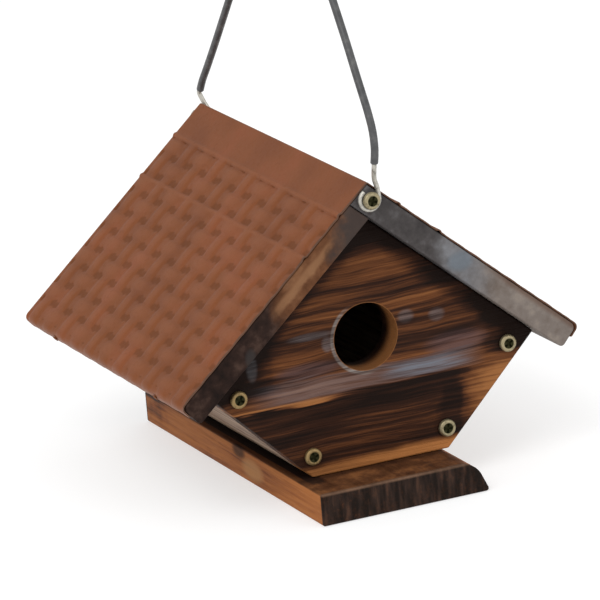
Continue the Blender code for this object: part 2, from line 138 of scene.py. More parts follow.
class Shader:
    """A Principled material that is written as expressions."""

    def __init__(self, name: str) -> None:
        """Make an empty material with its shader and output nodes.

        Args:
            name: The material's name.
        """
        self.material = bpy.data.materials.new(name)
        self.material.use_nodes = True
        self.tree = self.material.node_tree
        self.tree.nodes.clear()
        self.output = self.tree.nodes.new("ShaderNodeOutputMaterial")
        self.surface = self.tree.nodes.new("ShaderNodeBsdfPrincipled")
        self.tree.links.new(self.surface.outputs[0], self.output.inputs["Surface"])

    def feed(self, node: bpy.types.Node, values: dict[int | str, Any]) -> None:
        """Set or link a node's inputs.

        Args:
            node: The node.
            values: What goes into each input, by its index or name.
        """
        for key, value in values.items():
            target = node.inputs[key]
            if isinstance(value, Value):
                self.tree.links.new(value.socket, target)
            elif isinstance(value, tuple) and target.type == "RGBA":
                target.default_value = (*value, 1.0)
            else:
                target.default_value = value

    def node(self, kind: str, settings: dict[str, Any], values: dict[int | str, Any]) -> bpy.types.Node:
        """Add any node.

        Args:
            kind: The node's type.
            settings: Its settings, set first. "stops" is a list of (position, value) for a ramp.
            values: What goes into its inputs.

        Returns:
            The new node.
        """
        made = self.tree.nodes.new(kind)
        for key, value in settings.items():
            if key == "stops":
                self._set_stops(made.color_ramp, value)
            else:
                setattr(made, key, value)
        self.feed(made, values)
        return made

    @staticmethod
    def _set_stops(ramp: bpy.types.ColorRamp, stops: Sequence[tuple[float, Colour]]) -> None:
        """Give a colour ramp its stops."""
        while len(ramp.elements) < len(stops):
            ramp.elements.new(1.0)
        for element, (position, colour) in zip(ramp.elements, stops):
            element.position = position
            element.color = (*colour, 1.0)

    def place(self) -> Value:
        """Return the place on the object, in millimetres."""
        where = self.node("ShaderNodeTexCoord", {}, {})
        metres = Value(self, where.outputs["Object"])
        scaled = self.node("ShaderNodeVectorMath", {"operation": "SCALE"}, {0: metres, "Scale": 1000.0})
        return Value(self, scaled.outputs[0])

    def parts(self, vector: Value) -> tuple[Value, Value, Value]:
        """Return the three numbers of a vector."""
        node = self.node("ShaderNodeSeparateXYZ", {}, {0: vector})
        return tuple(Value(self, out) for out in node.outputs)

    def vector(self, x: Number, y: Number, z: Number) -> Value:
        """Return a vector from three numbers."""
        node = self.node("ShaderNodeCombineXYZ", {}, {0: x, 1: y, 2: z})
        return Value(self, node.outputs[0])

    def attribute(self, name: str) -> Value:
        """Return a number that the mesh carries at its points."""
        node = self.node("ShaderNodeAttribute", {"attribute_name": name}, {})
        return Value(self, node.outputs["Fac"])

    def noise(
        self, vector: Value, scale: float, detail: float = 2.0, roughness: float = 0.5, distortion: float = 0.0
    ) -> Value:
        """Return soft noise around 0.5.

        Args:
            vector: Where to read it.
            scale: Cells for each unit of the vector.
            detail: Octaves.
            roughness: How strong the small octaves are.
            distortion: How much it swirls.

        Returns:
            The noise.
        """
        node = self.node(
            "ShaderNodeTexNoise",
            {"noise_dimensions": "3D"},
            {"Vector": vector, "Scale": scale, "Detail": detail, "Roughness": roughness, "Distortion": distortion},
        )
        return Value(self, node.outputs[0])

    def smooth(self, value: Value, low: float, high: float) -> Value:
        """Return 0 below low, 1 above high and a soft step between them. Low may be the larger."""
        node = self.node(
            "ShaderNodeMapRange",
            {"interpolation_type": "SMOOTHSTEP"},
            {0: value, 1: low, 2: high, 3: 0.0, 4: 1.0},
        )
        return Value(self, node.outputs[0])

    def band(self, value: Value, centre: float, half: float, edge: float) -> Value:
        """Return 1 within half of centre, falling to 0 over edge."""
        return self.smooth(abs(value - centre), half + edge, half)

    def patch(self, x: Value, z: Value, centre: tuple[float, float], size: tuple[float, float]) -> Value:
        """Return a soft oval patch, 1 in its middle and 0 outside.

        Args:
            x: First coordinate.
            z: Second coordinate.
            centre: The patch's middle.
            size: Its half width and half height.

        Returns:
            The mask.
        """
        across = (x - centre[0]) / size[0]
        along = (z - centre[1]) / size[1]
        return self.smooth(across * across + along * along, 1.0, 0.15)

    def ramp(self, value: Value, stops: Sequence[tuple[float, Colour]]) -> Value:
        """Return a colour from a ramp."""
        node = self.node("ShaderNodeValToRGB", {"stops": stops}, {0: value})
        return Value(self, node.outputs[0])

    def shades(self, level: Number, spread: float, dark: Colour, usual: Colour, pale: Colour) -> Value:
        """Return a ramp of three colours about the middle of a noise.

        Args:
            level: The noise.
            spread: How far the outer colours lie from the middle.
            dark: The colour below it.
            usual: The colour at the middle.
            pale: The colour above it.

        Returns:
            The colour.
        """
        return self.ramp(level, [(0.50 - spread, dark), (0.50, usual), (0.50 + spread, pale)])

    def mix(self, amount: Number, first: Any, second: Any, blend: str = "MIX") -> Value:
        """Return a mix of two colours."""
        node = self.node(
            "ShaderNodeMix",
            {"data_type": "RGBA", "blend_type": blend, "clamp_factor": True},
            {0: amount, 6: first, 7: second},
        )
        return Value(self, node.outputs[2])

    def bump(self, height: Value, depth: float, strength: float = 1.0) -> Value:
        """Return a normal that leans as a height map of the given depth in metres."""
        node = self.node("ShaderNodeBump", {}, {"Height": height, "Distance": depth, "Strength": strength})
        return Value(self, node.outputs[0])

    def dress(self, **inputs: Any) -> bpy.types.Material:
        """Feed the surface shader, its inputs named with _ for a space, and return the material."""
        self.feed(self.surface, {key.replace("_", " "): value for key, value in inputs.items()})
        return self.material


# ---------------------------------------------------------------- finishes


@dataclass(frozen=True)
class WoodTones:
    """The colours of one torched board, from char to bare wood."""

    char: Colour
    dark: Colour
    brown: Colour
    bare: Colour


PANEL_TONES = WoodTones((0.008, 0.0032, 0.0018), (0.030, 0.0105, 0.005), (0.118, 0.041, 0.014), (0.28, 0.112, 0.036))
BOARD_TONES = WoodTones((0.012, 0.010, 0.010), (0.035, 0.026, 0.023), (0.10, 0.062, 0.044), (0.24, 0.15, 0.09))
BASE_TONES = WoodTones((0.008, 0.004, 0.003), (0.044, 0.016, 0.007), (0.21, 0.066, 0.019), (0.34, 0.124, 0.037))


class Grain(Enum):
    """The way the grain runs on a board: its stretch of the pattern along X, Y and Z."""

    ALONG_X = (0.016, 0.30, 0.55)
    ALONG_Y = (0.55, 0.016, 0.55)


class WoodFinish:
    """Torched softwood: raised dark grain, brown between it and grey weathering."""

    def __init__(self, name: str, tones: WoodTones, grain: Grain, seed: float) -> None:
        """Start the finish.

        Args:
            name: The material's name.
            tones: Its colours.
            grain: The way the grain runs.
            seed: Moves the pattern, so that no two boards are alike.
        """
        self.shader = Shader(name)
        self.tones = tones
        self.place = self.shader.place()
        self.x, self.y, self.z = self.shader.parts(self.place)
        self.grain = grain
        self.seed = seed
        self.streaks, self.lines = self._grain_maps()

    def _grain_maps(self) -> tuple[Value, Value]:
        """Return (broad streaks, fine lines), both around 0.5."""
        make = self.shader
        sx, sy, sz = self.grain.value
        drift = make.noise(self.place, 0.016, 2.0)
        wander = (drift - 0.5) * 6.0
        x, y, z = self.x, self.y, self.z
        if self.grain is Grain.ALONG_X:
            z = z + wander
        else:
            x = x + wander
        broad = make.vector(x * sx * 0.7 + self.seed, y * sy * 0.5, z * sz * 0.32)
        fine = make.vector(x * sx * 1.1 + self.seed, y * sy * 1.3, z * sz * 1.25)
        streaks = make.noise(broad, 1.0, 3.0, 0.62)
        lines = make.noise(fine, 1.0, 4.0, 0.68)
        return streaks, lines

    def wood_colour(self, burnt: Number) -> Value:
        """Return the wood's colour.

        Args:
            burnt: How far it is torched, around 0 for the usual and 1 for char.

        Returns:
            The colour.
        """
        make = self.shader
        tones = self.tones
        level = self.streaks * 0.55 + self.lines * 0.45 - burnt * 0.22
        return make.ramp(level, [(0.30, tones.char), (0.42, tones.dark), (0.54, tones.brown), (0.70, tones.bare)])

    def wear(self, colour: Value, mask: Value, grey: Colour, amount: float) -> Value:
        """Lay grey weathering over the raised lines inside a mask.

        Args:
            colour: The colour under it.
            mask: Where it lies.
            grey: Its colour.
            amount: How much of it shows.

        Returns:
            The new colour.
        """
        streaky = self.shader.smooth(self.lines * 0.6 + self.streaks * 0.4, 0.40, 0.62)
        return self.shader.mix(mask * (streaky * 0.8 + 0.2) * amount, colour, grey)

    def close(self, colour: Value, depth: float = 0.0007, gloss: float = 0.62) -> bpy.types.Material:
        """Finish the material with its relief and sheen.

        Args:
            colour: The base colour.
            depth: Depth of the raised grain, in metres.
            gloss: The middle roughness.

        Returns:
            The material.
        """
        make = self.shader
        fibre = make.noise(self.place, 0.9, 3.0, 0.6)
        height = self.lines * 0.75 + self.streaks * 0.25 + fibre * 0.10
        rough = self.streaks * 0.35 + (gloss - 0.17)
        make.surface.inputs["Specular IOR Level"].default_value = 0.08
        return make.dress(Base_Color=colour, Roughness=rough, Normal=make.bump(height, depth))


class Finishes:
    """Every material of the birdhouse, made once."""

    def __init__(self) -> None:
        """Make the materials."""
        self.front = self._front_panel()
        self.back = self._back_panel()
        self.wall = self._wall()
        self.base = self._base_board()
        self.left_board = self._roof_board(Side.LEFT)
        self.right_board = self._roof_board(Side.RIGHT)
        self.roof = self._roof_metal()
        self.screw = self._plated("screw_plating", (0.33, 0.28, 0.17), 0.38)
        self.aged_screw = self._plated("aged_screw_plating", (0.29, 0.20, 0.09), 0.42)
        self.nail = self._plated("nail_steel", (0.45, 0.45, 0.46), 0.38)
        self.wire = self._plated("wire_zinc", (0.50, 0.48, 0.43), 0.36)
        self.sleeve = self._sleeve()

    @staticmethod
    def _front_panel() -> bpy.types.Material:
        """Return the torched front with grey bands, a clean lower right edge and the entrance; soot and painted shade
        darken it under the eaves, and painted shade darkens the entrance's bore.
        """
        wood = WoodFinish("front_wood", PANEL_TONES, Grain.ALONG_X, 3.7)
        make, x, z = wood.shader, wood.x, wood.z
        cloud = make.noise(wood.place, 0.06, 3.0) - 0.5
        rough_x = x + cloud * 18.0
        rough_z = z + (wood.streaks - 0.5) * 14.0
        eave = z + abs(x) * math.tan(PITCH)
        apex = make.smooth(rough_z, 111.0, 123.0)
        # Soot and painted shade from the roof darken the panel under its eaves.
        soot_and_eave_shade = make.smooth(eave + cloud * 8.0, 119.0, 132.0) * 0.9
        waist = make.band(rough_z, 76.0, 10.0, 5.0) * 0.15
        char = make.band(rough_z, 45.5, 4.0, 3.5) * make.smooth(rough_x, 50.0, 38.0) * 0.62
        lower = make.smooth(z, 42.0, 36.0) * 0.34
        clean = make.smooth(rough_x, 40.0, 62.0) * make.smooth(rough_z, 56.0, 46.0) * make.smooth(z, 22.0, 34.0)
        post = make.band(rough_x, 37.0, 4.0, 4.0) * make.smooth(z, 47.0, 42.0) * 0.35
        left = make.smooth(rough_x, -44.0, -64.0) * make.smooth(z, 54.0, 60.0) * 0.9
        right = make.smooth(rough_x, 52.0, 66.0) * make.smooth(z, 54.0, 58.0) * 0.8
        foot = make.smooth(z + cloud * 3.0, 22.0, 18.0)
        hair = make.band(rough_z, 51.0, 0.6, 1.2) * make.smooth(x, -14.0, -30.0)
        burnt = apex + soot_and_eave_shade + waist + char + lower + post + left + right - clean * 1.15 - hair * 1.2
        burnt = burnt * (1.0 - foot) - foot * 0.55
        colour = wood.wood_colour(burnt)
        glow = foot * make.smooth(x, -30.0, 8.0) * 0.72 + foot * 0.16
        colour = make.mix(glow, colour, (0.42, 0.165, 0.050))
        blue = make.band(rough_z, 57.0, 3.4, 2.6) * make.smooth(x, -66.0, -44.0) * make.smooth(x, 58.0, 44.0)
        strong = make.patch(x, rough_z, (26.0, 56.5), (26.0, 5.0))
        mauve = make.patch(x, z, (42.0, 65.5), (19.0, 6.5)) + make.patch(x, z, (-32.0, 66.0), (20.0, 4.5))
        flecks = make.patch(x, z, (-30.0, 81.5), (14.0, 2.2)) + make.patch(x, z, (-22.0, 76.5), (3.4, 4.6))
        spots = make.patch(x, z, (18.0, 82.0), (5.0, 4.0)) + make.patch(x, z, (33.5, 80.0), (5.0, 4.0))
        edge = make.patch(x, z, (-60.0, 72.5), (3.4, 8.0))
        colour = wood.wear(colour, blue, (0.120, 0.118, 0.132), 0.50)
        colour = wood.wear(colour, strong, (0.145, 0.175, 0.215), 0.78)
        colour = wood.wear(colour, mauve, (0.080, 0.062, 0.074), 0.55)
        colour = wood.wear(colour, (flecks + spots * 0.7 + edge * 0.45).smaller(1.0), (0.14, 0.14, 0.15), 0.70)
        low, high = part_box("front_panel")
        across = x - ENTRANCE.x * 1000.0
        up = z - ENTRANCE.z * 1000.0
        reach = (across * across + up * up) ** 0.5
        bore = make.smooth(reach, ENTRANCE_RADIUS * 1000.0 + 0.35, ENTRANCE_RADIUS * 1000.0 + 0.1)
        # Inside the entrance the bore goes from pale wood at the front to near black deep in: painted shade.
        depth = make.smooth(wood.y, low.y * 1000.0 + 5.0, high.y * 1000.0 - 3.0)
        bore_painted_shade = make.mix(depth, (0.22, 0.090, 0.030), (0.006, 0.003, 0.002))
        lower_left = make.smooth(across + up * 0.4, 2.0, -11.0)
        brink = make.band(reach, ENTRANCE_RADIUS * 1000.0 + 0.9, 0.5, 0.9) * lower_left
        colour = wood.wear(colour, brink, (0.230, 0.215, 0.200), 0.85)
        colour = make.mix(bore * 0.9, colour, bore_painted_shade)
        return wood.close(colour, 0.0010, 0.62)

    @staticmethod
    def _back_panel() -> bpy.types.Material:
        """Return the torched back."""
        wood = WoodFinish("back_wood", PANEL_TONES, Grain.ALONG_X, 21.3)
        make, x, z = wood.shader, wood.x, wood.z
        rough_z = z + (make.noise(wood.place, 0.05, 3.0) - 0.5) * 24.0
        burnt = make.smooth(rough_z, 104.0, 124.0) + make.band(rough_z, 58.0, 8.0, 8.0) * 0.8
        colour = wood.wood_colour(burnt - make.smooth(z + x * 0.2, 34.0, 24.0) * 0.7)
        colour = wood.wear(colour, make.band(rough_z, 86.0, 4.0, 6.0), (0.11, 0.11, 0.13), 0.8)
        return wood.close(colour, 0.0009, 0.60)

    @staticmethod
    def _wall() -> bpy.types.Material:
        """Return the grey-brown walls."""
        wood = WoodFinish("wall_wood", BOARD_TONES, Grain.ALONG_Y, 9.1)
        make = wood.shader
        broad = make.noise(wood.place, 0.02, 3.0)
        colour = wood.wood_colour(-0.45 + (broad - 0.5) * 0.6)
        colour = wood.wear(colour, make.smooth(broad, 0.20, 0.50), (0.330, 0.240, 0.180), 0.9)
        return wood.close(colour, 0.0005, 0.66)

    @staticmethod
    def _base_board() -> bpy.types.Material:
        """Return the base board: orange-brown along its sides, charred at its ends, charred and in painted shadow
        under the house, and with a painted highlight on its worn front edge.
        """
        wood = WoodFinish("base_wood", BASE_TONES, Grain.ALONG_Y, 5.5)
        make, x, y, z = wood.shader, wood.x, wood.y, wood.z
        low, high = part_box("base_board")
        blotch = make.noise(wood.place, 0.030, 3.0)
        grime = make.noise(wood.place, 0.10, 4.0, 0.65)
        ends = make.smooth(abs(y), high.y * 1000.0 - 2.0, high.y * 1000.0 - 0.8)
        top = make.smooth(z, 14.0, 14.7)
        # Char and painted shadow on the top beside the left wall, under the house.
        char_and_shadow_under_house = top * make.smooth(x, -30.0, -34.0) * make.smooth(x, -39.6, -38.2) * make.smooth(y, -92.0, -74.0)
        ledge = top * make.smooth(y, -72.0, -80.0)
        # Painted shadow: the top behind the front panel's face goes near black, under the house and in the corner
        # where the panel meets the ledge.
        seam_shadow = top * make.smooth(y, -83.0, -77.5)
        patch = make.smooth(blotch, 0.56, 0.74) * 0.65 + make.smooth(y, 60.0, 98.0) * 0.30
        burnt = patch - 0.62 + ends * 1.45 + char_and_shadow_under_house * 2.2
        colour = wood.wood_colour(burnt)
        side = make.smooth(x, -40.4, -41.4)
        knot = make.patch(y, z, (-9.0, 13.0), (9.0, 4.5)) * side
        pale = make.patch(y, z, (-24.0, 7.0), (15.0, 6.5)) * side
        colour = make.mix(pale * 0.6, colour, (0.400, 0.210, 0.085))
        colour = make.mix(knot * 0.8, colour, (0.030, 0.014, 0.008))
        soft = make.ramp(grime, [(0.36, (0.018, 0.009, 0.006)), (0.52, (0.062, 0.027, 0.014)), (0.68, (0.165, 0.068, 0.026))])
        colour = make.mix(ledge * 0.82, colour, soft)
        colour = make.mix(seam_shadow * 0.75, colour, (0.010, 0.005, 0.004))
        front = make.smooth(y, low.y * 1000.0 + 2.2, low.y * 1000.0 + 0.9)
        end_grain = make.noise(make.vector(x * 0.35, y * 0.05, z * 0.06), 1.0, 3.0)
        pores = make.ramp(
            end_grain,
            [(0.40, (0.010, 0.006, 0.004)), (0.56, (0.032, 0.018, 0.013)), (0.74, (0.085, 0.042, 0.026))],
        )
        colour = make.mix(front * 0.7, colour, pores)
        # A pale line along the top front edge: worn wood and a painted highlight.
        worn_edge_and_highlight = make.smooth(z, 13.6, 14.9) * make.smooth(y, low.y * 1000.0 + 2.8, low.y * 1000.0 + 0.5)
        colour = make.mix(worn_edge_and_highlight * grime * 1.1, colour, (0.210, 0.120, 0.075))
        return wood.close(colour, 0.0006, 0.60)

    @staticmethod
    def _roof_board(side: Side) -> bpy.types.Material:
        """Return a roof board's finish: a charred left end with a tan edge, a slate to taupe right end."""
        left = side is Side.LEFT
        wood = WoodFinish(f"{side.name.lower()}_roof_wood", BOARD_TONES, Grain.ALONG_Y, 13.9 if left else 17.2)
        make, x, z = wood.shader, wood.x, wood.z
        soft = make.noise(wood.place, 0.045, 4.0, 0.6)
        small = make.noise(wood.place, 0.16, 3.0, 0.6)
        run = abs(x) + (soft - 0.5) * 30.0
        inward = (z + abs(x) * math.tan(PITCH) - 133.75) * math.cos(PITCH)
        blend = small * 0.5 + soft * 0.5
        if left:
            colour = make.shades(blend, 0.14, (0.008, 0.004, 0.003), (0.022, 0.011, 0.008), (0.060, 0.034, 0.025))
            brown = make.shades(blend, 0.14, (0.070, 0.026, 0.010), (0.115, 0.046, 0.020), (0.180, 0.082, 0.038))
            colour = make.mix(make.smooth(run, 54.0, 42.0), colour, brown)
            lower = make.band(inward + (small - 0.5) * 3.0, 6.6, 0.8, 2.2) * make.band(run, 33.0, 9.0, 9.0)
            colour = make.mix(lower * 0.7, colour, (0.230, 0.115, 0.056))
            slate = make.smooth(run, 22.0, 13.0) + make.patch(x, z, (-64.0, 80.0), (3.5, 6.0)) * 0.7
            colour = make.mix(slate.smaller(1.0) * 0.85, colour, (0.036, 0.032, 0.031))
        else:
            slate = make.shades(blend, 0.16, (0.034, 0.030, 0.030), (0.058, 0.052, 0.051), (0.120, 0.114, 0.116))
            grey = make.shades(blend, 0.16, (0.105, 0.095, 0.092), (0.150, 0.148, 0.155), (0.185, 0.190, 0.205))
            taupe = make.shades(blend, 0.16, (0.125, 0.098, 0.082), (0.170, 0.142, 0.125), (0.245, 0.205, 0.172))
            colour = make.mix(make.smooth(run, 28.0, 40.0), slate, grey)
            colour = make.mix(make.smooth(run, 44.0, 58.0), colour, taupe)
            rim = make.smooth(inward, 8.6, 11.4) * make.smooth(run, 50.0, 66.0)
            colour = make.mix(rim * 0.75, colour, (0.105, 0.060, 0.042))
            colour = make.mix(make.patch(x, z, (43.0, 105.5), (8.0, 6.0)) * 0.55, colour, (0.120, 0.150, 0.180))
        return wood.close(colour, 0.0004, 0.60)

    @staticmethod
    def _roof_metal() -> bpy.types.Material:
        """Return copper-brown painted sheet, with painted shade in the hollows and a painted highlight on the
        strands' crests.
        """
        make = Shader("roof_sheet")
        place = make.place()
        cloud = make.noise(place, 0.035, 3.0, 0.55)
        speck = make.noise(place, 0.55, 4.0, 0.7)
        raised = make.attribute("raised")
        tone = make.shades(cloud * 0.8 + speck * 0.2, 0.16, (0.172, 0.050, 0.014), (0.198, 0.059, 0.016), (0.226, 0.064, 0.020))
        # Painted shade: the hollows of the pressing are darker.
        hollow_shade = make.smooth(raised, 0.34, 0.05)
        # Painted highlight: the crests of the strands are lighter.
        crest_highlight = make.smooth(raised, 0.62, 1.0)
        tone = make.mix(hollow_shade * 0.40, tone, (0.095, 0.032, 0.010))
        tone = make.mix(crest_highlight * 0.22, tone, (0.285, 0.100, 0.040))
        tone = make.mix(make.smooth(speck, 0.54, 0.70) * 0.30, tone, (0.120, 0.036, 0.011))
        edge = make.smooth(make.parts(place)[1], ROOF_FRONT * 1000.0 + 0.9, ROOF_FRONT * 1000.0 + 0.4)
        tone = make.mix(edge * 0.8, tone, (0.080, 0.046, 0.030))
        rough = speck * 0.22 + hollow_shade * 0.15 + 0.42
        make.surface.inputs["Metallic"].default_value = 0.15
        make.surface.inputs["Specular IOR Level"].default_value = 0.22
        return make.dress(Base_Color=tone, Roughness=rough, Normal=make.bump(speck, 0.00012))

    @staticmethod
    def _plated(name: str, colour: Colour, gloss: float) -> bpy.types.Material:
        """Return worn metal plating, with painted shade in a screw head's recess.

        Args:
            name: The material's name.
            colour: Its colour.
            gloss: The lowest roughness.

        Returns:
            The material.
        """
        make = Shader(name)
        place = make.place()
        stain = make.noise(place, 0.45, 4.0, 0.65)
        scratch = make.noise(place, 1.8, 3.0, 0.7)
        dull = tuple(0.45 * part for part in colour)
        tone = make.mix(make.smooth(stain, 0.50, 0.72), colour, dull)
        # Painted shade: the dish and cross recess of a screw head go near black.
        recess_shade = make.attribute("recess_shade")
        tone = make.mix(recess_shade, tone, (0.035, 0.034, 0.012))
        make.surface.inputs["Metallic"].default_value = 0.85
        rough = stain * 0.25 + recess_shade * 0.3 + gloss
        return make.dress(Base_Color=tone, Roughness=rough, Normal=make.bump(scratch, 0.00006))

    @staticmethod
    def _sleeve() -> bpy.types.Material:
        """Return the hanger's charcoal vinyl sleeve."""
        make = Shader("sleeve_vinyl")
        place = make.place()
        scuff = make.noise(place, 0.22, 4.0, 0.65)
        fine = make.noise(place, 1.4, 3.0, 0.6)
        tone = make.ramp(
            scuff,
            [(0.36, (0.038, 0.038, 0.040)), (0.54, (0.060, 0.060, 0.062)), (0.72, (0.110, 0.108, 0.104))],
        )
        return make.dress(Base_Color=tone, Roughness=fine * 0.25 + 0.34, Normal=make.bump(fine, 0.00008))


# ---------------------------------------------------------------- modelling


def clear_selection() -> None:
    """Leave edit mode and deselect everything."""
    if bpy.context.mode != "OBJECT":
        bpy.ops.object.mode_set(mode="OBJECT")
    bpy.ops.object.select_all(action="DESELECT")


def activate(piece: bpy.types.Object) -> None:
    """Select one object only and make it the active one."""
    clear_selection()
    piece.select_set(True)
    bpy.context.view_layer.objects.active = piece


def new_primitive(name: str, add: Callable[..., Any], **values: Any) -> bpy.types.Object:
    """Add a primitive and leave it selected in object mode.

    Args:
        name: The piece's name.
        add: The operator that adds it.
        values: The operator's size, place and turn.

    Returns:
        The object.
    """
    clear_selection()
    add(**values)
    piece = bpy.context.active_object
    piece.name = name
    piece.data.name = name
    return piece


def settle(piece: bpy.types.Object) -> None:
    """Put the object's place, turn and scale into its mesh."""
    activate(piece)
    bpy.ops.object.transform_apply(location=True, rotation=True, scale=True)


def select_where(piece: bpy.types.Object, mode: str, test: Callable[[Any], bool]) -> int:
    """Select the vertices, edges or faces that pass a test, and go into edit mode.

    Args:
        piece: The object.
        mode: "VERT", "EDGE" or "FACE".
        test: Takes a mesh element and says whether it is selected.

    Returns:
        How many were selected.
    """
    activate(piece)
    mesh = piece.data
    bpy.ops.object.mode_set(mode="EDIT")
    bpy.ops.mesh.select_mode(type=mode)
    bpy.ops.mesh.select_all(action="DESELECT")
    bpy.ops.object.mode_set(mode="OBJECT")
    items = {"VERT": mesh.vertices, "EDGE": mesh.edges, "FACE": mesh.polygons}[mode]
    chosen = [bool(test(item)) for item in items]
    items.foreach_set("select", chosen)
    bpy.ops.object.mode_set(mode="EDIT")
    return sum(chosen)


def edge_middle(mesh: bpy.types.Mesh, edge: bpy.types.MeshEdge) -> Vector:
    """Return the middle of an edge."""
    first, second = (mesh.vertices[index].co for index in edge.vertices)
    return (first + second) / 2


def edge_way(mesh: bpy.types.Mesh, edge: bpy.types.MeshEdge) -> Vector:
    """Return an edge's direction."""
    first, second = (mesh.vertices[index].co for index in edge.vertices)
    return (second - first).normalized()


def apply_modifier(piece: bpy.types.Object, kind: str, **settings: Any) -> None:
    """Add a modifier, set it up and apply it.

    Args:
        piece: The object.
        kind: The modifier's type.
        settings: Its settings.
    """
    activate(piece)
    modifier = piece.modifiers.new(kind.lower(), kind)
    for key, value in settings.items():
        setattr(modifier, key, value)
    bpy.ops.object.modifier_apply(modifier=modifier.name)


def bevel_edges(
    piece: bpy.types.Object, test: Callable[[bpy.types.MeshEdge], bool], width: float, segments: int
) -> None:
    """Round the edges that pass a test."""
    if select_where(piece, "EDGE", test):
        bpy.ops.mesh.bevel(offset=width, segments=segments, affect="EDGES", clamp_overlap=True)
    bpy.ops.object.mode_set(mode="OBJECT")


def shade(piece: bpy.types.Object, degrees: float = 40.0) -> None:
    """Shade smooth, with edges sharper than the angle left hard."""
    activate(piece)
    bpy.ops.object.shade_smooth_by_angle(angle=math.radians(degrees))


def store(piece: bpy.types.Object, name: str, values: Iterable[float]) -> None:
    """Keep one number for each point of a mesh, for its material."""
    attribute = piece.data.attributes.new(name, "FLOAT", "POINT")
    attribute.data.foreach_set("value", list(values))


def dress(piece: bpy.types.Object, material: bpy.types.Material) -> None:
    """Give a piece one material."""
    piece.data.materials.clear()
    piece.data.materials.append(material)


def hand_over(piece: bpy.types.Object, body: str, slot: str, *nodes: str) -> None:
    """Make a piece ride on a body and stand for CAD nodes."""
    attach(piece, body)
    if nodes:
        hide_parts(*nodes)
    LOG.info("%s: %d faces on %s", piece.name, len(getattr(piece.data, "polygons", [])), body)


# ---------------------------------------------------------------- places

RECORD_JOINT = frame["joints"][0]
PIVOT = Vector(RECORD_JOINT["pos_m"])
ENTRANCE = Vector((-0.0026, 0.0, 0.0763))
ENTRANCE_RADIUS = 0.015875
PITCH = math.radians(41.0)
COVER_LOW, COVER_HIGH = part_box("roof_cover")
RIDGE = COVER_HIGH.z
ROOF_FRONT, ROOF_BACK = COVER_LOW.y, COVER_HIGH.y


def down_slope(side: Side) -> Vector:
    """Return the way down a slope."""
    return Vector((side.value * math.cos(PITCH), 0.0, -math.sin(PITCH)))


def out_of_slope(side: Side) -> Vector:
    """Return the way straight out of a slope."""
    return Vector((side.value * math.sin(PITCH), 0.0, math.cos(PITCH)))


SLOPE_LENGTH = COVER_HIGH.x / math.cos(PITCH)


# ---------------------------------------------------------------- roof


